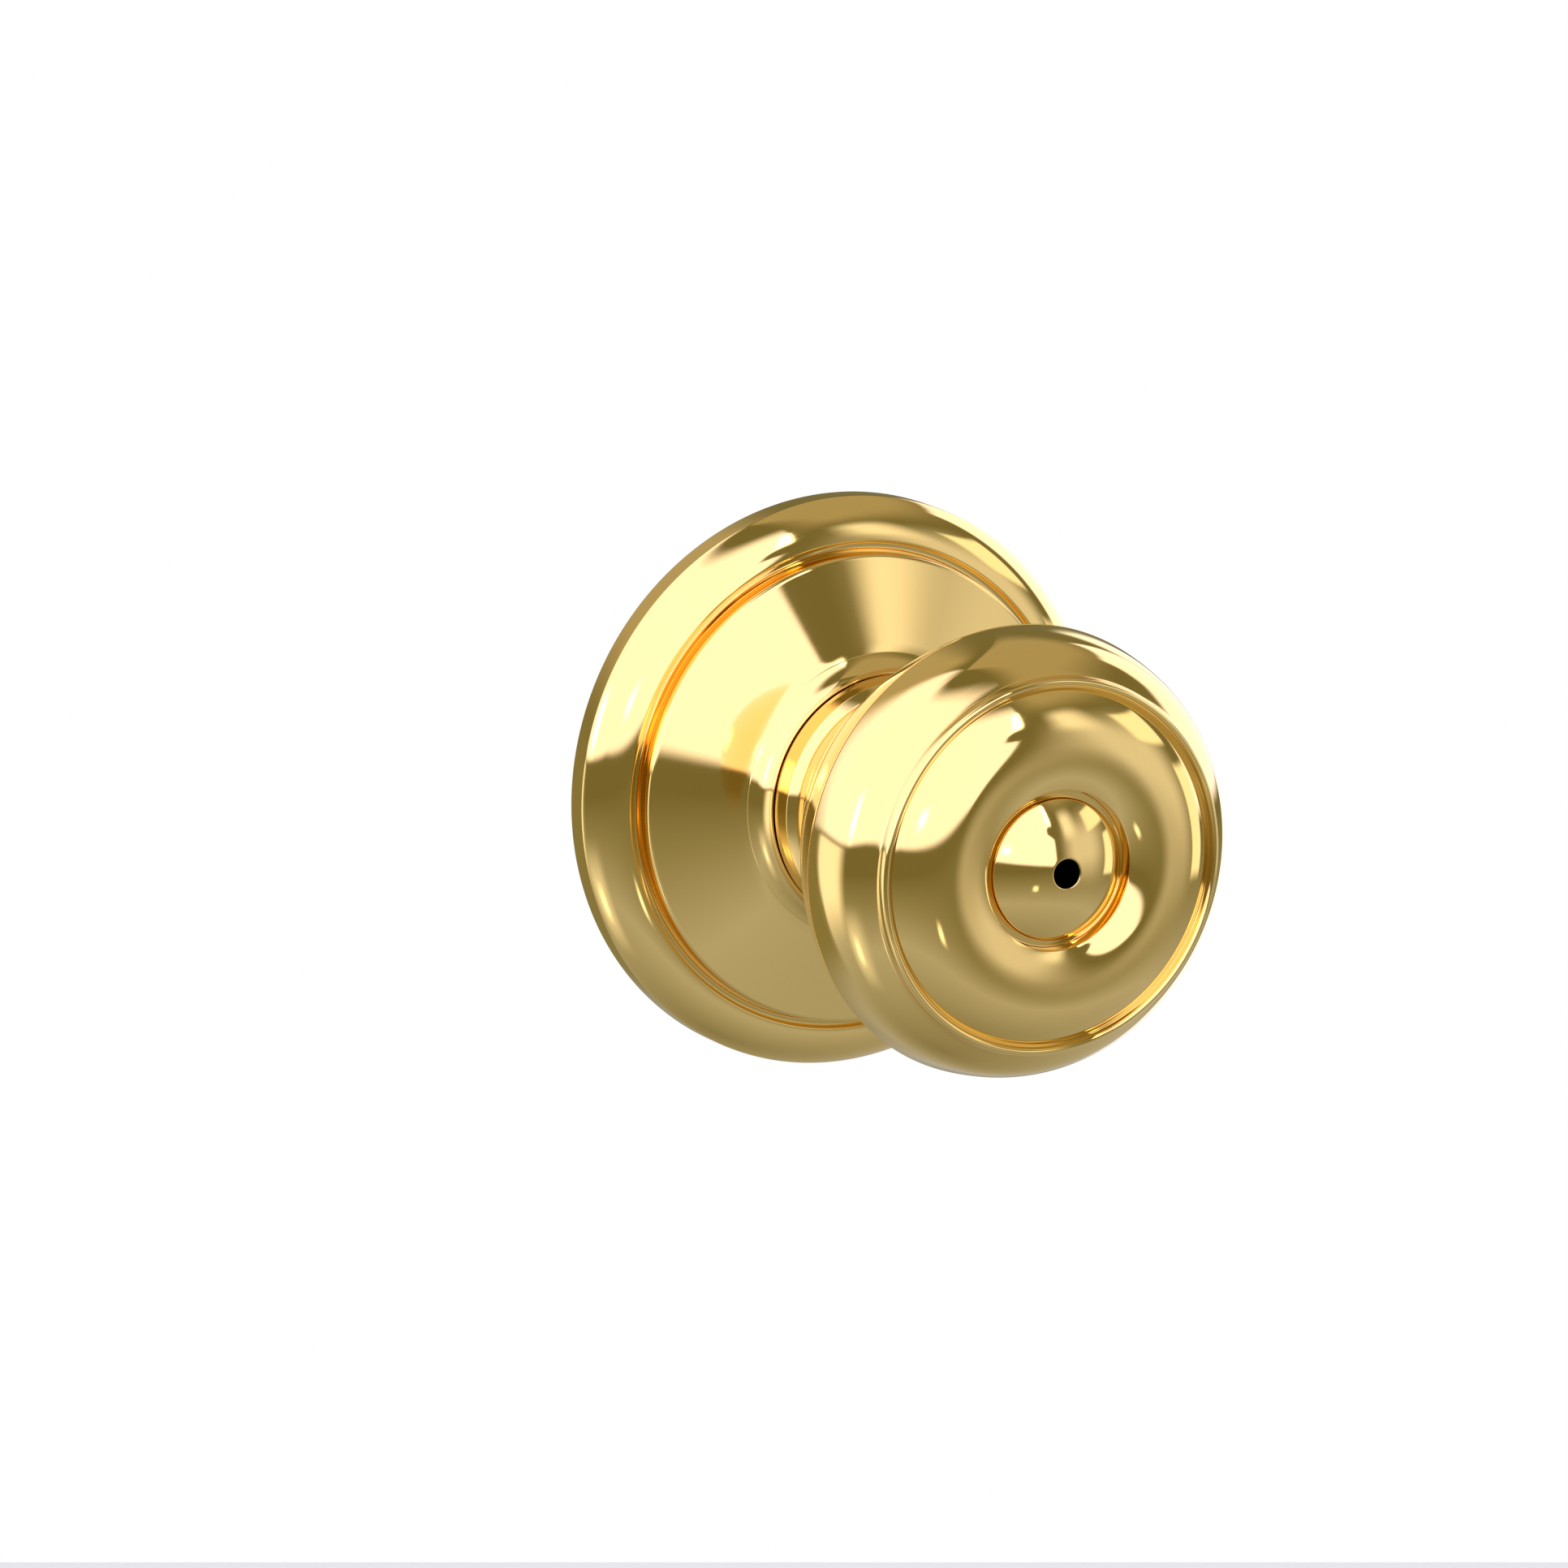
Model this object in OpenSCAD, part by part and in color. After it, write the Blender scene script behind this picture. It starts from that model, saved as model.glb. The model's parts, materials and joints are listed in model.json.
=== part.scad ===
// Door knob with rose: the outside half of a bed or bath set with an emergency release pinhole.
// Units are millimetres. +Z is up. The origin is the centre of the rose's back face, on the
// spindle's axis, and the knob stands out from the door towards -Y.
// Every turned piece is drawn as a profile of [radius, height], where height is the distance
// out from the door's face: it is negative for what sits inside the door.

/* [Rose] */
// Diameter of the rose over its rim
rose_d = 66.7; // [62:0.1:76]
// Height of the rose's straight rim
rim_h = 2.75; // [2:0.05:4]
// Height of the top of the rounded moulding inside the rim
moulding_h = 5.9; // [5.6:0.1:6.4]
// Half the angle that the moulding bends through
moulding_bend = 24; // [16:1:32]
// Radius of the channel's outer edge
channel_r = 28.5; // [28:0.1:29]
// Height of the channel's floor
channel_h = 5.1; // [4.6:0.1:5.4]
// Radius of the shoulder inside the channel
shoulder_r = 27.35; // [27:0.05:27.5]
// Height of the shoulder, where the cone starts
shoulder_h = 7.8; // [7:0.1:8.4]
// Radius where the cone runs into the neck flare
flare_r = 16.6; // [16:0.1:18]
// Height of the cone there
flare_h = 11.5; // [11:0.1:12]
// Height of the rose's neck
neck_h = 14; // [13.5:0.1:14.5]
// Thickness of the spun sheet
sheet = 0.9; // [0.7:0.1:1.1]

/* [Knob] */
// Diameter of the knob over its rim
knob_d = 51.6; // [50:0.2:54]
// Height of the rim's widest line
rim_line_h = 43; // [42:0.1:44]
// Height of the bead's foot
bead_h = 51.2; // [50.6:0.1:51.6]
// Radius of the bead
bead_r = 21.5; // [21:0.1:22]
// Height of the crown of the face
crown_h = 54.7; // [54.4:0.1:55]
// Radius of the crown of the face
crown_r = 13.2; // [12.8:0.1:13.6]
// Radius that the crown bends to
crown_bend = 10.3; // [9.8:0.1:10.8]
// Radius of the centre button
button_r = 8.15; // [7.8:0.05:8.4]
// Height of the top of the centre button
button_h = 55.75; // [55.3:0.05:56]
// Diameter of the release pinhole
pinhole_d = 3.2; // [3:0.1:3.4]

/* [Neck] */
// Radius of the knob's neck
neck_r = 13.6; // [13.3:0.1:13.8]
// Radius of the collar at its foot
collar_r = 14.7; // [14.5:0.1:14.8]
// Height of the collar
collar_len = 3.6; // [3:0.05:4]
// Radius of the sleeve that turns in the bush
sleeve_r = 12.15; // [12.1:0.01:12.15]

/* [Drive] */
// Radius of the spindle
spindle_r = 5.5; // [5:0.1:5.8]
// Length of spindle inside the door
spindle_reach = 42; // [36:1:48]
// Depth of the flat along the spindle
flat_depth = 0.9; // [0.6:0.1:1]
// How far the knob turns each way, in degrees
turn_angle = 50; // [40:1:60]
// Travel of the release rod
release_travel = 4; // [3:0.5:5]

/* [Door fixing] */
// Radius of the boss that centres in the cross bore
boss_r = 26.6; // [26:0.1:26.8]
// Distance between the two through-bolts
bolt_spacing = 38.1; // [37:0.1:39]
// Radius of the tapped hole in each post
tap_r = 1.75; // [1.5:0.05:2]
// Length of the posts behind the door's face
post_reach = 18; // [14:1:20]

/* [Hidden] */
$fn = 96;

brass = [0.86, 0.74, 0.36];
steel = [0.72, 0.73, 0.75];
zinc = [0.62, 0.63, 0.62];
spring_steel = [0.45, 0.46, 0.48];
bronze = [0.62, 0.43, 0.22];

// Gaps: fixed pieces of one body, running fits and free clearances
seat = 0.03;
run = 0.05;
free = 0.3;

// Rose
rose_r = rose_d / 2;
edge_round = 0.45;
rose_hole_r = 14;

// Knob
knob_r = knob_d / 2;
bead_wall = 0.9;
groove_r = 9;
groove_floor = 52.2;
shell = 1;
neck_foot = neck_h + free + collar_len + seat;

// Drive stack, from the door's face inwards
liner_h = 0.3;
liner_t = 0.9;
bush_len = 8;
boss_back = -8;
cover_t = 1.2;
cover_back = boss_back - cover_t;
cavity_r = 14.4;
cavity_top = -1.2;
stop_r = 13;
stop_pin_r = 1.2;
lug_half = 8;
driver_plate = [-3.7, -1.5];
driver_foot = -7.6;
driver_hub_r = 9;
tab_r = 10.4;
abutment = [10.7, 11.6];
abutment_half = 6;
coil_r = 12.6;
coil_wire = 0.8;
leg_angle = 12;
washer = [-10, cover_back - 0.15];
ring = [-10.9, -10.05];
ring_groove_r = 4.9;
sleeve_foot = 0.4;
sleeve_top = 24;
sleeve_bore = 9.9;
sleeve_flange = [9.2, 10.2];
sleeve_flange_r = 13.5;
rod_r = 1.5;
rod_bore_r = rod_r + run;
spring_bore_r = 3.6;
spring_floor = 18;
head_foot = 36;
head_top = 38.1;
spindle_top = 38.2;
rod_tail = -46;
pin_h = 29;
cross_pin_r = 1.2;
core_top = 47;
rivet_r = 1.2;
rivet_circle = 22.5;
screw_circle = 21;

// ---- helpers ----

// Points of an arc about [cx, cy], with radii a and b, from angle a0 to a1
function arc(cx, cy, a, b, a0, a1, n = 10) =
    [for (i = [0:n]) let (t = a0 + (a1 - a0) * i / n) [cx + a * cos(t), cy + b * sin(t)]];

// A point at radius r and angle t in the plane z
function polar(r, t, z) = [r * cos(t), r * sin(t), z];

function unit(v) = v / norm(v);

function backwards(v) = [for (i = [len(v) - 1:-1:0]) v[i]];

// Points of a circle's arc from p to q that turns through twice half, and bows to the right
function bulge(p, q, half, n = 10) =
    let (
        along = unit(q - p),
        out = [along[1], -along[0]],
        r = norm(q - p) / 2 / sin(half),
        centre = (p + q) / 2 - out * r * cos(half)
    )
    [for (i = [0:n]) let (t = -half + 2 * half * i / n) centre + r * (out * cos(t) + along * sin(t))];

// Points of a smooth curve from a to d, pulled towards b and c
function bezier(a, b, c, d, n = 12) =
    [for (i = [0:n]) let (t = i / n)
        pow(1 - t, 3) * a + 3 * pow(1 - t, 2) * t * b + 3 * (1 - t) * t * t * c + pow(t, 3) * d];

// Stands a piece drawn along +Z on the door, so that +Z becomes -Y
module on_door() {
    rotate([90, 0, 0]) children();
}

// A turned piece from its profile of [radius, height] points
module turned(profile) {
    on_door() rotate_extrude() polygon(profile);
}

// A ring with square edges
module tube(outer, inner, low, high) {
    turned([[inner, low], [outer, low], [outer, high], [inner, high]]);
}

// A round bar along the spindle's direction, at x and z on the door
module bar(r, low, high, x = 0, z = 0) {
    on_door() translate([x, z, low]) cylinder(r = r, h = high - low);
}

// Bars in a circle about the spindle
module bar_circle(r, low, high, circle_r, angles) {
    for (t = angles) bar(r, low, high, circle_r * cos(t), circle_r * sin(t));
}

// A wedge of a ring, from angle a0 to a1, measured from +X towards +Z
module ring_sector(outer, inner, low, high, a0, a1) {
    on_door() rotate([0, 0, a0]) rotate_extrude(angle = a1 - a0)
        polygon([[inner, low], [outer, low], [outer, high], [inner, high]]);
}

// A wire of radius r along the points of path, which never run along Z: a ring of points at
// each step, joined to the next by two triangles a side
module wire(path, r, sides = 6) {
    last = len(path) - 1;
    points = [for (i = [0:last])
        let (
            along = unit(path[min(i + 1, last)] - path[max(i - 1, 0)]),
            side = unit(cross([0, 0, 1], along)),
            up = cross(along, side)
        )
        for (k = [0:sides - 1]) path[i] + r * (side * cos(360 * k / sides) + up * sin(360 * k / sides))];
    faces = concat(
        [[for (k = [0:sides - 1]) k]],
        [for (i = [0:last - 1]) for (k = [0:sides - 1]) for (half = [0, 1])
            let (a = i * sides + k, b = i * sides + (k + 1) % sides)
            half == 0 ? [a, a + sides, b + sides] : [a, b + sides, b]],
        [[for (k = [sides - 1:-1:0]) last * sides + k]]);
    on_door() polyhedron(points, faces);
}

// ---- rose side, fixed to the door ----

module rose_shell() {
    color(brass) turned(concat(
        [[rose_r, 0]],
        bulge([rose_r, rim_h], [channel_r + 0.1, moulding_h], moulding_bend, 14),
        [[channel_r - 0.05, moulding_h - 0.15], [channel_r - 0.15, channel_h]],
        [[shoulder_r + 0.3, channel_h]],
        arc(shoulder_r - edge_round, shoulder_h - edge_round, edge_round, edge_round, 0, 72, 4),
        [[flare_r, flare_h]],
        arc(flare_r + 1.45, neck_h + 0.55, 3.2, 3.2, 247, 189, 8),
        [[rose_hole_r + sheet - 0.1, neck_h], [rose_hole_r, neck_h]],
        [[rose_hole_r, neck_h - 1.8], [flare_r - 0.9, flare_h - 0.85]],
        [[shoulder_r - 0.75, shoulder_h - 1.1], [shoulder_r - 0.45, channel_h - sheet]],
        [[channel_r + 0.5, channel_h - sheet]],
        backwards(bulge([rose_r - sheet, rim_h - 0.35], [channel_r + 0.7, moulding_h - 1.2],
            moulding_bend - 4, 8)),
        [[rose_r - sheet, 0]]));
}

module rose_liner() {
    rim = rose_r - sheet - 0.35;
    color(steel) difference() {
        turned([[16, liner_h], [rim, liner_h], [rim, liner_h + 1.9], [rim - liner_t, liner_h + 1.9],
            [rim - liner_t, liner_h + liner_t], [16, liner_h + liner_t]]);
        bar_circle(rivet_r + seat, liner_h - 1, liner_h + 2, rivet_circle, [30, 150, 270]);
    }
}

module spring_housing() {
    color(zinc) difference() {
        turned([[spindle_r + 0.7, cavity_top], [cavity_r, cavity_top], [cavity_r, boss_back],
            [boss_r, boss_back], [boss_r, liner_h - seat], [15.4, liner_h - seat], [15.4, bush_len],
            [neck_r - 0.1, bush_len], [neck_r - 0.1, 0], [spindle_r + 0.7, 0]]);
        for (side = [-1, 1]) bar(3.9 + seat, boss_back - 1, -1.2, side * bolt_spacing / 2);
        bar_circle(rivet_r + seat, -4, 1, rivet_circle, [30, 150, 270]);
        bar_circle(rivet_r + seat, boss_back - 1, -3, screw_circle, [90, 210, 330]);
        bar_circle(stop_pin_r + seat, cavity_top - 1, -0.2, stop_r, stop_angles());
    }
}

module housing_cover() {
    color(steel) {
        difference() {
            tube(boss_r - 0.4, 7, cover_back, boss_back - seat);
            for (side = [-1, 1]) bar(4.1, cover_back - 1, boss_back + 1, side * bolt_spacing / 2);
            bar_circle(rivet_r + seat, cover_back - 1, boss_back + 1, screw_circle, [90, 210, 330]);
        }
        ring_sector(abutment[1], abutment[0], boss_back - 0.2, driver_plate[0] - 0.4,
            270 - abutment_half, 270 + abutment_half);
    }
}

// Pan-head screws that hold the cover
module cover_screws() {
    color(steel) for (t = [90, 210, 330]) on_door() rotate([0, 0, t]) translate([screw_circle, 0, 0])
        difference() {
            union() {
                translate([0, 0, cover_back - 1]) cylinder(r = 2.1, h = 1 - seat);
                translate([0, 0, cover_back - seat]) cylinder(r = rivet_r, h = 5.4);
            }
            translate([-2.5, -0.25, cover_back - 1.5]) cube([5, 0.5, 1]);
        }
}

module liner_rivets() {
    top = liner_h + liner_t + seat;
    color(steel) for (t = [30, 150, 270]) on_door() rotate([0, 0, t]) translate([rivet_circle, 0, 0])
        rotate_extrude() polygon([[0, -3.9], [rivet_r, -3.9], [rivet_r, top], [2.1, top],
            [1.9, top + 0.5], [1.2, top + 0.8], [0, top + 0.85]]);
}

// Tapped posts, with a shouldered foot in the housing
module mounting_posts() {
    color(steel) for (side = [-1, 1]) on_door() translate([side * bolt_spacing / 2, 0, 0])
        rotate_extrude() polygon([[tap_r, -post_reach], [3.4, -post_reach], [3.8, -post_reach + 0.4],
            [3.8, boss_back - 0.3], [3.9, boss_back - 0.3], [3.9, -1.3], [0, -1.3],
            [0, -3.2], [tap_r, -4]]);
}

module neck_bush() {
    color(bronze) tube(neck_r - 0.1 - seat, sleeve_r + run, seat, bush_len);
}

function stop_angles() =
    let (away = turn_angle + lug_half + asin(stop_pin_r / stop_r) + 1.2)
    [90 - away, 90 + away];

module stop_pins() {
    color(steel) bar_circle(stop_pin_r, driver_plate[0] - 0.1, -0.3, stop_r, stop_angles());
}

// Torsion spring: three turns, with both ends bent inwards beside the driver's tab
module return_spring() {
    low = driver_foot + coil_wire / 2 + 0.1;
    high = driver_plate[0] - coil_wire / 2 - 0.15;
    start = 270 + leg_angle;
    sweep = 3 * 360 - 2 * leg_angle;
    steps = 3 * 16;
    bend = [[9.5, 0], [11.3, 0], [12, 1], [12.45, 3.5]];
    path = concat(
        [for (p = bend) polar(p[0], start + p[1], low)],
        [for (i = [0:steps]) let (f = i / steps)
            polar(coil_r, start + 8 + (sweep - 16) * f, low + (high - low) * f)],
        [for (i = [3:-1:0]) polar(bend[i][0], start + sweep - bend[i][1], high)]);
    color(spring_steel) wire(path, coil_wire / 2);
}

// ---- knob side, turns on the spindle's axis ----

// The face's shoulder from the knob's rim to the bead's foot, moved in by inset
function shoulder(inset) = bezier(
    [knob_r - 0.05 - inset, rim_line_h + 0.05],
    [knob_r - 0.68 - inset, bead_h - 3.16 - inset * 0.1],
    [knob_r - 1.36 - inset * 0.8, bead_h - 2.32 - inset * 0.8],
    [bead_r + 0.1 - inset * 0.7, bead_h - 0.1 - inset * 0.8]);

// The face from inside the bead over the crown to the groove, moved in by inset
function crown(inset) =
    arc(crown_r, crown_h - crown_bend, crown_bend - inset, crown_bend - inset, 46, 113.8, 12);

// Front of the knob: shoulder, bead, crown, dished centre and the groove round the button
module knob_face() {
    under = backwards(crown(shell));
    color(brass) turned(concat(
        shoulder(0),
        [[bead_r, bead_h], [bead_r - 0.1, bead_h + bead_wall]],
        arc(bead_r - 0.55, bead_h + bead_wall, 0.45, 0.45, 0, 180, 6),
        crown(0),
        [[groove_r, groove_floor], [6.7, groove_floor], [6.7, groove_floor - shell]],
        [[groove_r + 0.6, groove_floor - shell], [groove_r + 0.8, groove_floor + 0.4]],
        [for (i = [1:len(under) - 1]) under[i]],
        backwards(shoulder(shell))));
}

// The flared back from the neck to the rim, moved in by inset
function back_outline(inset) = concat(
    [[neck_r - inset * 1.4, neck_foot], [neck_r - inset * 1.4, 19]],
    [[14.1 - inset, 20.8 + inset * 0.4], [15.1 - inset, 22.9 + inset * 0.4]],
    [[16.5 - inset, 25 + inset * 0.5]],
    bezier([18.2 - inset, 27.2 + inset * 0.5], [20.2 - inset, 31 + inset * 0.5],
        [knob_r - 1.6 - inset, rim_line_h - 5.6 + inset * 0.3],
        [knob_r - inset * 1.2, rim_line_h - 0.02]));

module knob_back() {
    color(brass) turned(concat(back_outline(0), backwards(back_outline(shell))));
}

// Domed button with the pinhole, on a plug that goes through the face
module centre_button() {
    hole = pinhole_d / 2;
    rise = button_h - 53.2;
    dome = (pow(button_r, 2) + pow(rise, 2)) / (2 * rise);
    edge = asin((button_r - 0.15) / dome);
    color(brass) turned(concat(
        [for (i = [0:8]) let (t = asin((hole + 0.15) / dome) * (8 - i) / 8 + edge * i / 8)
            [dome * sin(t), button_h - dome + dome * cos(t)]],
        [[button_r, 53], [button_r, groove_floor + seat], [6.65, groove_floor + seat],
            [6.65, 49.4], [hole, 49.4], [hole, button_h - 0.25]]));
}

// Die-cast core: spigot for the sleeve, body round the spindle and seat for the pin guide
module knob_core() {
    color(zinc) difference() {
        turned([[spindle_r + seat, 19.5], [sleeve_bore - seat, 19.5], [sleeve_bore - seat, sleeve_top + seat],
            [11.5, sleeve_top + seat], [11.5, 40], [15, 41], [15, rim_line_h - seat],
            [11.2, rim_line_h - seat], [11.2, 45], [7, core_top], [3.43, core_top],
            [3.43, spindle_top + seat], [spindle_r + seat, spindle_top + seat]]);
        on_door() translate([0, 0, pin_h]) rotate([0, 90, 0])
            cylinder(r = cross_pin_r + seat, h = 30, center = true);
    }
}

// Steel disc that backs the joint between the two halves of the knob
module backing_disc() {
    color(steel) difference() {
        tube(knob_r - 1.7, 11.25, rim_line_h, rim_line_h + 1.2);
        bar_circle(2.5, rim_line_h - 1, rim_line_h + 3, 18, [0:60:300]);
    }
}

module neck_sleeve() {
    color(steel) turned([[sleeve_bore, sleeve_foot], [sleeve_r - 0.4, sleeve_foot], [sleeve_r, sleeve_foot + 0.4],
        [sleeve_r, sleeve_flange[0]], [sleeve_flange_r, sleeve_flange[0]], [sleeve_flange_r, sleeve_flange[1]],
        [sleeve_r, sleeve_flange[1]], [sleeve_r, sleeve_top], [sleeve_bore, sleeve_top]]);
}

// Tapered collar between the rose and the knob, with a spigot inside the rose's neck
module neck_collar() {
    foot = neck_h + free;
    color(brass) turned([[sleeve_r + seat, 12.4], [rose_hole_r - free, 12.4], [rose_hole_r - free, foot],
        [collar_r - 0.12, foot], [collar_r, foot + 0.15], [collar_r - 0.1, foot + collar_len - 0.9],
        [collar_r - 1, foot + collar_len], [sleeve_r + seat, foot + collar_len]]);
}

module pin_guide() {
    color(steel) turned([[1.9, spindle_top + seat], [3.4, spindle_top + seat], [3.4, 49.2],
        [2.6, 49.3], [1.9, 48.6]]);
}

// Solid round spindle with a flat along its inner end, a bore for the rod and one for its spring
module spindle() {
    tail = -spindle_reach;
    color(steel) difference() {
        turned([[rod_bore_r, tail], [spindle_r - 0.5, tail], [spindle_r, tail + 0.5],
            [spindle_r, ring[0] - seat], [ring_groove_r, ring[0] - seat], [ring_groove_r, ring[1] + seat],
            [spindle_r, ring[1] + seat], [spindle_r, spindle_top], [spring_bore_r, spindle_top],
            [spring_bore_r, spring_floor], [rod_bore_r, spring_floor]]);
        on_door() translate([-6, spindle_r - flat_depth, tail - 1])
            cube([12, 2, spindle_reach]);
        on_door() translate([0, 0, pin_h]) rotate([0, 90, 0])
            cylinder(r = cross_pin_r + seat, h = 30, center = true);
    }
}

// Two short pins that lock the spindle in the core
module spindle_pins() {
    color(steel) on_door() for (side = [0, 180]) rotate([0, 0, side]) translate([3.8, 0, pin_h])
        rotate([0, 90, 0]) cylinder(r = cross_pin_r, h = 7.5);
}

// Driver: hub on the spindle's flat, tab between the spring's ends, and a lug that meets the stops
module spring_driver() {
    color(zinc) difference() {
        union() {
            tube(driver_hub_r, 3, driver_foot, driver_plate[1]);
            tube(11, 4, driver_plate[0], driver_plate[1]);
            ring_sector(14, 8, driver_plate[0], driver_plate[1], 90 - lug_half, 90 + lug_half);
            ring_sector(tab_r, 8, driver_foot, driver_plate[0] + 0.5, 265, 275);
        }
        difference() {
            bar(spindle_r + seat, driver_foot - 1, 0);
            on_door() translate([-6, spindle_r - flat_depth + seat, driver_foot - 2])
                cube([12, 3, 10]);
        }
    }
}

module thrust_washer() {
    color(steel) tube(9.4, spindle_r + seat, washer[0], washer[1]);
}

// Cone washer that takes up end play between the bush and the sleeve's flange
module spring_washer() {
    inner = sleeve_r + run;
    color(spring_steel) turned([[inner, bush_len + 0.6], [14.3, bush_len + 0.1], [14.4, bush_len + 0.45],
        [inner, bush_len + 1]]);
}

// Snap ring in the spindle's groove, open at the flat
module retaining_ring() {
    color(spring_steel) ring_sector(7.4, ring_groove_r + seat, ring[0], ring[1], 115, 425);
}

// ---- release, slides along the spindle ----

module release_rod() {
    color(steel) difference() {
        turned([[0, rod_tail], [rod_r - 0.3, rod_tail], [rod_r, rod_tail + 0.3], [rod_r, head_foot],
            [0, head_foot]]);
        for (side = [-1, 1]) on_door() translate([side * 1.4 - 0.5, -2, rod_tail - 1])
            cube([1, 4, 5]);
    }
}

// Dished head that catches the tip of the release pin
module rod_head() {
    color(steel) turned([[0, head_foot + seat], [spring_bore_r - 0.2, head_foot + seat],
        [spring_bore_r - 0.2, head_top], [2, head_top], [0, head_top - 0.8]]);
}

module rod_spring() {
    low = spring_floor + 0.4;
    high = head_foot - 0.4;
    turns = 7;
    steps = turns * 12;
    path = [for (i = [0:steps]) let (f = i / steps) polar(2.6, 360 * turns * f, low + (high - low) * f)];
    color(spring_steel) wire(path, 0.3);
}

rose_shell();
rose_liner();
spring_housing();
housing_cover();
cover_screws();
liner_rivets();
mounting_posts();
neck_bush();
stop_pins();
return_spring();
knob_face();
knob_back();
centre_button();
knob_core();
backing_disc();
neck_sleeve();
neck_collar();
pin_guide();
spindle();
spindle_pins();
spring_driver();
thrust_washer();
spring_washer();
retaining_ring();
release_rod();
rod_head();
rod_spring();
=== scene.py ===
import json
import math

import bmesh
import bpy
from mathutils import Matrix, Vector


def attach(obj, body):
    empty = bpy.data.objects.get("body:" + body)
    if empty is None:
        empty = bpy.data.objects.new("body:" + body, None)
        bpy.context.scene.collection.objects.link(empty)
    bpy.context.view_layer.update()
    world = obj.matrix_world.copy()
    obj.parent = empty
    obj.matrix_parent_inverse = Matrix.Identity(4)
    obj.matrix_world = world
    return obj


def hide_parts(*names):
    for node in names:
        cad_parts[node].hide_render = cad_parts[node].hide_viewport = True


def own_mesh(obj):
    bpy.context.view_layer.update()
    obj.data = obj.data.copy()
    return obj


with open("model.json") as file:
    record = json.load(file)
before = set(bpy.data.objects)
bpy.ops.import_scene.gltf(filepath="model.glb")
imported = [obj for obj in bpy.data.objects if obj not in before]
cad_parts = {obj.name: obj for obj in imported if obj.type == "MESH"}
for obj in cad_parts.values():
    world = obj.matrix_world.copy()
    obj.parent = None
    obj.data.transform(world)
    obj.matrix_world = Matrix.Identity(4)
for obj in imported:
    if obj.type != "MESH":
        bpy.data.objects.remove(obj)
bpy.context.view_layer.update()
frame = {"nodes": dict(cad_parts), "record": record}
NODES = frame["nodes"]
MM = 0.001


def placed(name, data):
    """A new object in the scene, with this mesh or camera."""
    made = bpy.data.objects.new(name, data)
    bpy.context.scene.collection.objects.link(made)
    return made


# ---- materials ----

# The polished brass varies between these two colours, at these places on its tint noise
BRASS = [(0.3, (0.93, 0.65, 0.22)), (0.7, (0.95, 0.68, 0.24))]
# The pinhole's bore goes from polished to painted shade between these two radii, in metres
BORE_SHADE_FADE = (0.00175, 0.00165)
# The near-black colour of the painted shade inside the pinhole's bore
BORE_SHADE_COLOUR = (0.004, 0.003, 0.002, 1)


def node(tree, kind, inputs=None, **settings):
    """A shader node with its settings and its inputs' values or links."""
    made = tree.nodes.new(kind)
    for name, value in settings.items():
        setattr(made, name, value)
    for name, value in (inputs or {}).items():
        if isinstance(value, bpy.types.NodeSocket):
            tree.links.new(value, made.inputs[name])
        else:
            made.inputs[name].default_value = value
    return made


def ramp(tree, source, stops):
    """A colour ramp over source, from (position, colour) stops."""
    made = node(tree, "ShaderNodeValToRGB", {"Fac": source})
    elements = made.color_ramp.elements
    while len(elements) < len(stops):
        elements.new(0.5)
    for element, (position, colour) in zip(elements, stops):
        element.position = position
        element.color = (*colour, 1)
    return made.outputs["Color"]


def material(name):
    """A new material, and its empty node tree."""
    made = bpy.data.materials.new(name)
    made.use_nodes = True
    made.node_tree.nodes.clear()
    return made, made.node_tree


def metal(name, colour, worn, rough, grain, bump):
    """A metal whose colour goes from colour to worn, and whose roughness runs over rough.
    grain is the size of its pattern in metres, and bump the depth of its surface in metres."""
    made, tree = material(name)
    where = node(tree, "ShaderNodeTexCoord").outputs["Object"]
    broad = node(tree, "ShaderNodeTexNoise", {"Vector": where, "Scale": 0.12 / grain,
                                              "Detail": 3.0})
    fine = node(tree, "ShaderNodeTexNoise", {"Vector": where, "Scale": 1 / grain, "Detail": 6.0,
                                             "Roughness": 0.6})
    spread = node(tree, "ShaderNodeMapRange", {
        "Value": fine.outputs["Fac"], "From Min": 0.3, "From Max": 0.7,
        "To Min": rough[0], "To Max": rough[1]})
    relief = node(tree, "ShaderNodeBump", {"Height": fine.outputs["Fac"], "Strength": 1.0,
                                           "Distance": bump})
    shader = node(tree, "ShaderNodeBsdfPrincipled", {
        "Base Color": ramp(tree, broad.outputs["Fac"], [(0.3, colour), (0.75, worn)]),
        "Metallic": 1.0, "Roughness": spread.outputs["Result"],
        "Normal": relief.outputs["Normal"]})
    node(tree, "ShaderNodeOutputMaterial", {"Surface": shader.outputs["BSDF"]})
    return made


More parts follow.
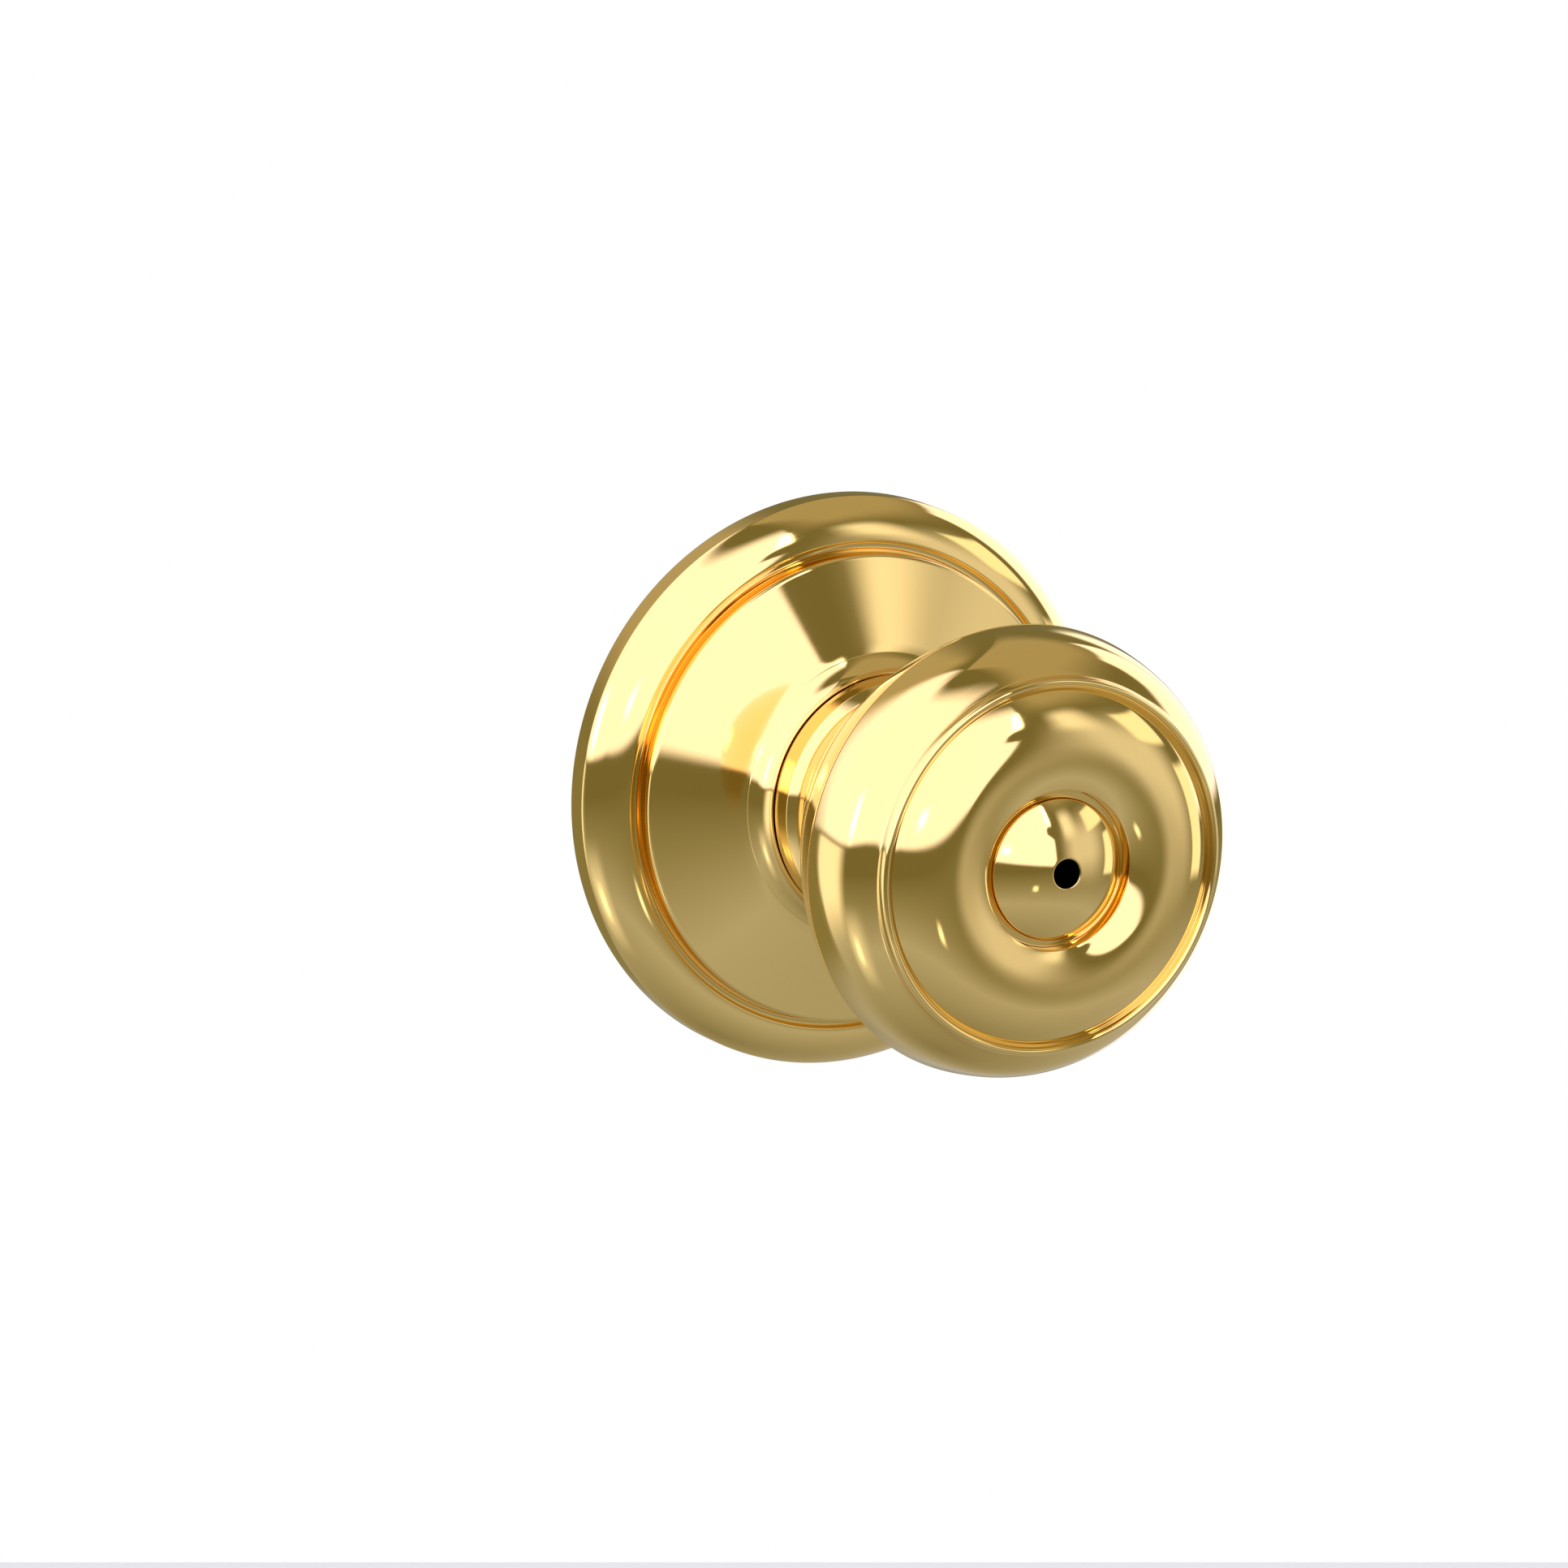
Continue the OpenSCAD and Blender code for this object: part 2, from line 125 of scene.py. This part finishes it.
def polished_brass():
    """Mirror-polished, lacquered brass: faint buffing lines round the spindle's axis, a slow
    waviness from the buffing wheel, and a slight change of tint from place to place. The bore of
    the pinhole is rougher, and its near-black colour is painted shade."""
    made, tree = material("polished_brass")
    where = node(tree, "ShaderNodeTexCoord").outputs["Object"]
    parts = node(tree, "ShaderNodeSeparateXYZ", {"Vector": where})
    square = [node(tree, "ShaderNodeMath", {0: parts.outputs[axis], 1: 2.0}, operation="POWER")
              for axis in ("X", "Z")]
    total = node(tree, "ShaderNodeMath", {0: square[0].outputs[0], 1: square[1].outputs[0]})
    radius = node(tree, "ShaderNodeMath", {0: total.outputs[0]}, operation="SQRT")
    turned = node(tree, "ShaderNodeCombineXYZ", {"X": radius.outputs[0],
                                                 "Y": parts.outputs["Y"]})
    lines = node(tree, "ShaderNodeTexNoise", {"Vector": turned.outputs["Vector"],
                                              "Scale": 9000.0, "Detail": 2.0})
    wave = node(tree, "ShaderNodeTexNoise", {"Vector": where, "Scale": 90.0, "Detail": 1.0})
    tint = node(tree, "ShaderNodeTexNoise", {"Vector": where, "Scale": 35.0, "Detail": 2.0})
    broad = node(tree, "ShaderNodeBump", {"Height": wave.outputs["Fac"], "Strength": 1.0,
                                          "Distance": 0.000006})
    relief = node(tree, "ShaderNodeBump", {
        "Height": lines.outputs["Fac"], "Strength": 0.25, "Distance": 0.0000004,
        "Normal": broad.outputs["Normal"]})
    spread = node(tree, "ShaderNodeMapRange", {
        "Value": lines.outputs["Fac"], "From Min": 0.3, "From Max": 0.7,
        "To Min": 0.035, "To Max": 0.06})
    # Painted shade: inside the pinhole's bore the base colour goes near-black, where the hole
    # would be in shadow, and the roughness rises.
    bore = node(tree, "ShaderNodeMapRange", {
        "Value": radius.outputs[0], "From Min": BORE_SHADE_FADE[0], "From Max": BORE_SHADE_FADE[1]})
    colour = node(tree, "ShaderNodeMix", {"Factor": bore.outputs["Result"]}, data_type="RGBA")
    tree.links.new(ramp(tree, tint.outputs["Fac"], BRASS), colour.inputs["A"])
    colour.inputs["B"].default_value = BORE_SHADE_COLOUR
    rough = node(tree, "ShaderNodeMath", {
        0: bore.outputs["Result"], 1: 0.5, 2: spread.outputs["Result"]},
        operation="MULTIPLY_ADD")
    shader = node(tree, "ShaderNodeBsdfPrincipled", {
        "Base Color": colour.outputs["Result"],
        "Metallic": 1.0, "Roughness": rough.outputs[0], "Normal": relief.outputs["Normal"],
        "Coat Weight": 0.12, "Coat Roughness": 0.02, "Coat IOR": 1.45})
    node(tree, "ShaderNodeOutputMaterial", {"Surface": shader.outputs["BSDF"]})
    return made


MATERIALS = {
    "polished_brass": polished_brass(),
    # name, colour, worn, rough, grain, bump
    "pressed_steel": metal(
        "pressed_steel", (0.60, 0.60, 0.58), (0.52, 0.53, 0.53), (0.22, 0.36), 0.0009, 0.000012),
    "zinc_casting": metal(
        "zinc_casting", (0.44, 0.44, 0.43), (0.36, 0.36, 0.36), (0.42, 0.62), 0.0006, 0.00006),
    "fastener_steel": metal(
        "fastener_steel", (0.66, 0.64, 0.56), (0.58, 0.58, 0.55), (0.18, 0.32), 0.0007, 0.00001),
    "spring_steel": metal(
        "spring_steel", (0.24, 0.24, 0.25), (0.32, 0.31, 0.29), (0.2, 0.4), 0.0006, 0.00001),
    "bronze": metal(
        "bronze", (0.45, 0.29, 0.14), (0.55, 0.37, 0.19), (0.35, 0.5), 0.0005, 0.00003),
}

for entry in frame["record"]["subparts"]:
    cad = NODES[entry["node"]]
    cad.data.materials.clear()
    cad.data.materials.append(MATERIALS[entry["material_slot"]])


# ---- turned shells ----
# Profiles are (radius, height) in millimetres, where height is the distance out from the door.

# A turned profile keeps a point where it has bent by MAX_BEND or run on for MAX_SPAN millimetres
MAX_BEND, MAX_SPAN = math.radians(2.5), 1.2


def arc(cx, cy, a, b, start, end, steps=24):
    """Points of an ellipse's arc about (cx, cy), from angle start to end in degrees."""
    angles = [math.radians(start + (end - start) * i / steps) for i in range(steps + 1)]
    return [(cx + a * math.cos(t), cy + b * math.sin(t)) for t in angles]


def softened(outline, crease, spacing=0.04):
    """A closed outline with its creases eased over about crease millimetres. Gives its points,
    each with a normal, and more of them where it bends."""
    dense = []
    for (r0, h0), (r1, h1) in zip(outline, outline[1:] + outline[:1]):
        steps = max(1, round(math.hypot(r1 - r0, h1 - h0) / spacing))
        dense += [Vector((r0 + (r1 - r0) * i / steps, h0 + (h1 - h0) * i / steps))
                  for i in range(steps)]
    reach = max(1, round(2.2 * crease / spacing))
    weights = [math.exp(-0.5 * (k * spacing / crease) ** 2) for k in range(-reach, reach + 1)]
    total, count = sum(weights), len(dense)
    eased = [sum((dense[(i + k - reach) % count] * w for k, w in enumerate(weights)),
                 Vector((0, 0))) / total for i in range(count)]
    slopes = [(eased[(i + 1) % count] - eased[i - 1]).normalized() for i in range(count)]
    kept, last = [], None
    for i in range(count):
        if (last is None or slopes[i].angle(slopes[last], 0) > MAX_BEND
                or (eased[i] - eased[last]).length > MAX_SPAN):
            kept.append(i)
            last = i
    return [(eased[i], Vector((slopes[i].y, -slopes[i].x))) for i in kept]


def lathe(name, outline, crease, around=192):
    """A closed turned piece about the spindle's axis, with the normals of its true surface."""
    profile = softened(outline, crease)
    area = sum(a[0].x * b[0].y - b[0].x * a[0].y
               for a, b in zip(profile, profile[1:] + profile[:1]))
    if area < 0:
        profile = [(point, -normal) for point, normal in reversed(profile)]
    turns = [2 * math.pi * k / around for k in range(around)]
    points, normals = [], []
    for point, normal in profile:
        for t in turns:
            points.append((point.x * MM * math.cos(t), -point.y * MM, point.x * MM * math.sin(t)))
            normals.append((normal.x * math.cos(t), -normal.y, normal.x * math.sin(t)))
    count = len(profile)
    rings = [(i * around, (i + 1) % count * around) for i in range(count)]
    faces = [(a + k, a + (k + 1) % around, b + (k + 1) % around, b + k)
             for a, b in rings for k in range(around)]
    mesh = bpy.data.meshes.new(name)
    mesh.from_pydata(points, [], faces)
    mesh.materials.append(MATERIALS["polished_brass"])
    mesh.shade_smooth()
    mesh.normals_split_custom_set_from_vertices(normals)
    return placed(name, mesh)


def bulge(start, end, half, steps=24):
    """A circle's arc from start to end that turns through twice half degrees, out to the right."""
    along = Vector(end) - Vector(start)
    radius = along.length / 2 / math.sin(math.radians(half))
    along.normalize()
    out = Vector((along.y, -along.x))
    centre = (Vector(start) + Vector(end)) / 2 - out * radius * math.cos(math.radians(half))
    angles = [math.radians(-half + 2 * half * i / steps) for i in range(steps + 1)]
    return [tuple(centre + radius * (out * math.cos(t) + along * math.sin(t))) for t in angles]


def bezier(a, b, c, d, steps=24):
    """Points of the cubic curve from a to d, with b and c as its handles."""
    def at(t, k):
        return ((1 - t) ** 3 * a[k] + 3 * (1 - t) ** 2 * t * b[k]
                + 3 * (1 - t) * t * t * c[k] + t ** 3 * d[k])
    return [(at(i / steps, 0), at(i / steps, 1)) for i in range(steps + 1)]


def shoulder(inset):
    """The knob's shoulder from its rim to the bead's foot, moved in by inset."""
    return bezier((25.75 - inset, 43.05), (25.12 - inset, 48.04 - 0.1 * inset),
                  (24.44 - 0.8 * inset, 48.88 - 0.8 * inset),
                  (21.6 - 0.7 * inset, 51.1 - 0.8 * inset))


def crown(inset):
    """The knob's face from inside the bead over the crown to the groove, moved in by inset."""
    return arc(13.2, 44.4, 10.3 - inset, 10.3 - inset, 46, 113.8)


def back_curve(inset):
    """The flared back of the knob, moved in by inset."""
    neck = [(13.6 - 1.4 * inset, 17.93), (13.6 - 1.4 * inset, 19),
            (14.1 - inset, 20.8 + 0.4 * inset), (15.1 - inset, 22.9 + 0.4 * inset),
            (16.5 - inset, 25 + 0.5 * inset)]
    return neck + bezier((18.2 - inset, 27.2 + 0.5 * inset), (20.2 - inset, 31 + 0.5 * inset),
                         (24.2 - inset, 37.4 + 0.3 * inset), (25.8 - 1.2 * inset, 42.98))


def rose_outline():
    """The rim and moulding, the channel, the cone and its neck, then back along the inside."""
    edge, inner_edge = 33.35, 32.45
    return (
        [(edge, 0)]
        + bulge((edge, 2.75), (28.6, 5.9), 24)
        + [(28.45, 5.75), (28.35, 5.1), (27.65, 5.1)]
        + arc(26.9, 7.35, 0.45, 0.45, 0, 72, 8)
        + [(16.6, 11.5)]
        + arc(18.05, 14.55, 3.2, 3.2, 247, 189, 16)
        + [(14.8, 14), (14, 14), (14, 12.2), (15.7, 10.65), (26.6, 6.7), (26.9, 4.2), (29, 4.2),
           (29.2, 4.7)]
        + list(reversed(bulge((inner_edge, 2.4), (29.2, 4.7), 20, 12)))
        + [(inner_edge, 0)])


def face_outline():
    """The shoulder, the bead, the crown and the dished centre, then back along the inside."""
    return (
        shoulder(0)
        + [(21.5, 51.2), (21.4, 52.1)]
        + arc(20.95, 52.1, 0.45, 0.45, 0, 180, 8)
        + crown(0)
        + [(9, 52.2), (6.7, 52.2), (6.7, 51.2), (9.6, 51.2), (9.8, 52.6)]
        + list(reversed(crown(1)))[2:]
        + list(reversed(shoulder(1))))


def back_outline():
    """The flared back, outside and inside."""
    return back_curve(0) + list(reversed(back_curve(1)))


def button_outline():
    """The domed button, with its pinhole through it and a plug that stands in the knob's face."""
    top, rise, edge, plug = 55.75, 2.55, 8.15, 6.65
    mouth, bore = 1.75, 1.6
    dome = (edge ** 2 + rise ** 2) / (2 * rise)
    rim, hole = math.asin(8 / dome), math.asin(mouth / dome)
    over = [(dome * math.sin(a), top - dome + dome * math.cos(a))
            for a in (rim + (hole - rim) * i / 24 for i in range(25))]
    return ([(plug, 52.23), (edge, 52.23), (edge, 53)] + over
            + [(bore, 55.5), (bore, 49.4), (plug, 49.4)])


def collar_outline():
    """The short collar between the rose and the knob, with a spigot inside the rose's neck."""
    inside, spigot = 12.18, 13.7
    return [(inside, 12.4), (spigot, 12.4), (spigot, 14.3), (14.58, 14.3), (14.7, 14.45),
            (14.6, 17), (spigot, 17.9), (inside, 17.9)]


SHELLS = [
    # node, body, outline, crease
    ("rose_shell", "rose", rose_outline(), 0.12),
    ("knob_face", "knob", face_outline(), 0.1),
    ("knob_back", "knob", back_outline(), 0.1),
    ("centre_button", "knob", button_outline(), 0.07),
    ("neck_collar", "knob", collar_outline(), 0.07),
]
for name, body, outline, crease in SHELLS:
    piece = lathe("polished_" + name, outline, crease)
    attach(piece, body)
    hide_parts(name)


# ---- spring under the release rod's head ----

def coil(name, radius, wire, low, high, turns, steps=48, sides=12):
    """A coil spring about the spindle's axis, with its wire's middle from low to high out from the
    door. radius is the coil's and wire the wire's own radius. All are in millimetres."""
    last = turns * steps
    points = []
    for i in range(last + 1):
        turn = 2 * math.pi * i / steps
        for side in (2 * math.pi * k / sides for k in range(sides)):
            out = (radius + wire * math.cos(side)) * MM
            along_axis = (low + (high - low) * i / last + wire * math.sin(side)) * MM
            points.append((out * math.cos(turn), -along_axis, out * math.sin(turn)))
    rings = [(i * sides, (i + 1) * sides) for i in range(last)]
    faces = [(a + k, a + (k + 1) % sides, b + (k + 1) % sides, b + k)
             for a, b in rings for k in range(sides)]
    faces += [tuple(reversed(range(sides))), tuple(last * sides + k for k in range(sides))]
    mesh = bpy.data.meshes.new(name)
    mesh.from_pydata(points, [], faces)
    sound = bmesh.new()
    sound.from_mesh(mesh)
    bmesh.ops.recalc_face_normals(sound, faces=sound.faces)
    sound.to_mesh(mesh)
    sound.free()
    mesh.materials.append(MATERIALS["spring_steel"])
    mesh.shade_smooth()
    return placed(name, mesh)


# The spring is drawn at its free length of 17.8 mm, with its foot on its seat; the rod's push
# would take it to 13.5 mm
spring = coil("coiled_rod_spring", radius=2.6, wire=0.3, low=18.4, high=35.6, turns=7)
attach(spring, "knob")
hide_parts("rod_spring")
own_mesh(spring)


# ---- camera ----

AZIMUTH, ELEVATION = math.radians(-28.03), math.radians(12.8)
FOCAL_LENGTH, SENSOR = 223.6, 36
# How far the camera stands from the frame's origin, and how far to its left and down, in metres
DISTANCE, ASIDE, DOWN = 1.1242, 0.00516, 0.00093
TOWARDS = Vector((math.sin(AZIMUTH), -math.cos(AZIMUTH), 0))
RIGHT = Vector((math.cos(AZIMUTH), math.sin(AZIMUTH), 0))
BACK = TOWARDS * math.cos(ELEVATION) + Vector((0, 0, math.sin(ELEVATION)))
UP = BACK.cross(RIGHT)

lens = bpy.data.cameras.new("camera")
lens.sensor_width = SENSOR
lens.lens = FOCAL_LENGTH
lens.clip_end = 20
camera = placed("camera", lens)
camera.rotation_mode = "QUATERNION"
camera.rotation_quaternion = (-BACK).to_track_quat("-Z", "Y")
camera.location = DISTANCE * BACK - ASIDE * RIGHT - DOWN * UP
bpy.context.scene.camera = camera


# ---- studio ----
# Panels of light in the world shader, where the polished metal sees them and the camera does not.
# Bearings are in degrees from TOWARDS, to the RIGHT, and heights are in degrees above level.

world = bpy.data.worlds.new("studio")
world.use_nodes = True
sky = world.node_tree
sky.nodes.clear()


def maths(kind, *values):
    """What a Math node gives for these values or links."""
    return node(sky, "ShaderNodeMath", dict(enumerate(values)), operation=kind).outputs[0]


def along(direction):
    """How far the looked-at point of the world lies along a direction."""
    made = node(sky, "ShaderNodeVectorMath", {0: look, 1: direction}, operation="DOT_PRODUCT")
    return made.outputs["Value"]


look = node(sky, "ShaderNodeTexCoord").outputs["Generated"]
bearing = maths("MULTIPLY", maths("ARCTAN2", along(RIGHT), along(TOWARDS)), math.degrees(1))
height = maths("MULTIPLY", maths("ARCSINE", along((0, 0, 1))), math.degrees(1))


def step(value, start, end):
    """0 to 1, smoothly, as value goes from start to end."""
    made = node(sky, "ShaderNodeMapRange", {"Value": value, "From Min": start, "From Max": end},
                interpolation_type="SMOOTHSTEP")
    return made.outputs["Result"]


def slide(left, right, at_left, at_right):
    """A number that goes evenly from at_left to at_right between two bearings."""
    made = node(sky, "ShaderNodeMapRange", {
        "Value": bearing, "From Min": left, "From Max": right,
        "To Min": at_left, "To Max": at_right})
    return made.outputs["Result"]


def softbox(under, glow, colour, left, right, low, high, blur):
    """Lays a panel of light over what is under it. left and right are bearings, low and high are
    heights, and blur is half the width over which each of the four edges fades, in degrees."""
    lift = [maths("SUBTRACT", height, edge) for edge in (low, high)]
    turn = [maths("SUBTRACT", bearing, edge) for edge in (left, right)]
    sides = [step(turn[0], -blur[0], blur[0]), step(turn[1], blur[1], -blur[1]),
             step(lift[0], -blur[2], blur[2]), step(lift[1], blur[3], -blur[3])]
    cover = sides[0]
    for side in sides[1:]:
        cover = maths("MULTIPLY", cover, side)
    made = node(sky, "ShaderNodeMix", {"Factor": cover}, data_type="RGBA")
    sky.links.new(under, made.inputs["A"])
    made.inputs["B"].default_value = (*(glow * c for c in colour), 1)
    return made.outputs["Result"]


DARK, GREY, WARM = (0.2, 0.19, 0.1), (0.97, 0.98, 1.1), (1.1, 1, 0.75)
WHITE, KEY = (1, 1, 1), (1, 1, 1.4)

# The floor's stand-in: the tone from straight down (0) to level (1)
below = node(sky, "ShaderNodeMapRange", {"Value": height, "From Min": -90, "From Max": 0})
light = ramp(sky, below.outputs["Result"], [
    (0, (0.27, 0.27, 0.23)), (0.25, (0.36, 0.37, 0.35)), (0.58, (0.5, 0.52, 0.56)),
    (0.77, (0.31, 0.31, 0.24)), (0.9, DARK)])

# The key panel's right side has a notch in it, and its left side leans with height
NOTCH_HEIGHT, NOTCH_DEPTH, NOTCH_FADE = 23.5, 5.5, (8, 1)
KEY_LEFT, KEY_LEAN, KEY_RIGHT = -104, -0.45, 46.5
notch = step(maths("ABSOLUTE", maths("SUBTRACT", height, NOTCH_HEIGHT)), *NOTCH_FADE)
key_edge = maths("SUBTRACT", KEY_RIGHT, maths("MULTIPLY", notch, NOTCH_DEPTH))
key_start = maths("MULTIPLY_ADD", height, KEY_LEAN, KEY_LEFT)
key_low = slide(-20, 50, 2.4, -6.3)
key_high = slide(-60, 48, 82, 52)

for panel in [
    # glow, colour, left, right, low, high, blur of the same four edges
    (0.42, WARM, 55, 180, 42, 95, (12, 5, 10, 5)),
    (0.85, GREY, 58, 96, -14, 22, (9, 14, 14, 14)),
    (1.2, GREY, 58, 70, 15, 34, (4, 7, 6, 6)),
    (1.3, WHITE, 84, 108, 13, 27, (3, 1.5, 1.5, 1.5)),
    (1.3, WHITE, 101, 119, -17, 6, (1.5, 1.5, 1.5, 1.5)),
    (1.5, KEY, 118, 152, -6, 39, (2, 2, 2, 2)),
    (1.5, WHITE, 153, 170, -30, 20, (2, 2, 4, 4)),
    (1.3, DARK, -165, -104, -40, 6, (10, 6, 10, 12)),
    (0.45, WARM, -165, -104, 14, 70, (10, 8, 12, 10)),
    (1.35, GREY, -103, -66, -28, 1, (2, 14, 12, 1)),
    (0.95, GREY, -60, -32, -50, -28, (9, 9, 9, 9)),
    (1.55, KEY, key_start, key_edge, key_low, key_high, (8, 1, 1.7, 8)),
    (5, WHITE, 43, 47, 29, 46, (2, 1, 3, 3)),
    (5, WHITE, -4, 4, 8, 14, (3, 3, 3, 3)),
    (5, WHITE, -54, -44, 6, 22, (4, 4, 5, 5)),
    (2.2, WHITE, 26, 30, -26, -22, (2, 2, 2, 2)),
    (2, WHITE, -50, -41, -44, -36, (4, 4, 4, 4)),
]:
    light = softbox(light, *panel)

path = node(sky, "ShaderNodeLightPath")
room = node(sky, "ShaderNodeBackground", {"Color": light, "Strength": 1.0})
white = node(sky, "ShaderNodeBackground", {"Color": (1, 1, 1, 1), "Strength": 1.0})
mixed = node(sky, "ShaderNodeMixShader", {0: path.outputs["Is Camera Ray"], 1: room.outputs[0],
                                          2: white.outputs[0]})
node(sky, "ShaderNodeOutputWorld", {"Surface": mixed.outputs[0]})
bpy.context.scene.world = world
bpy.context.scene.view_settings.view_transform = "Standard"


def floor():
    """A pale table well below the object, from behind it to well in front. Polished metal does not
    reflect it: the studio's lower part stands in for it there."""
    drop, side, behind, front = Vector((0, 0, -0.173)), 0.8, -0.25, 0.65
    corners = [TOWARDS * y + RIGHT * x + drop
               for x, y in ((-side, behind), (side, behind), (side, front), (-side, front))]
    mesh = bpy.data.meshes.new("floor")
    mesh.from_pydata(corners, [], [(0, 1, 2, 3)])
    paint, tree = material("floor_paint")
    where = node(tree, "ShaderNodeTexCoord").outputs["Object"]
    mottle = node(tree, "ShaderNodeTexNoise", {"Vector": where, "Scale": 6.0, "Detail": 2.0})
    shader = node(tree, "ShaderNodeBsdfPrincipled", {
        "Base Color": ramp(tree, mottle.outputs["Fac"],
                           [(0.3, (0.86, 0.86, 0.75)), (0.7, (0.88, 0.88, 0.77))]),
        "Roughness": 0.8, "Specular IOR Level": 0.2})
    node(tree, "ShaderNodeOutputMaterial", {"Surface": shader.outputs["BSDF"]})
    mesh.materials.append(paint)
    made = placed("floor", mesh)
    made.visible_glossy = False


floor()
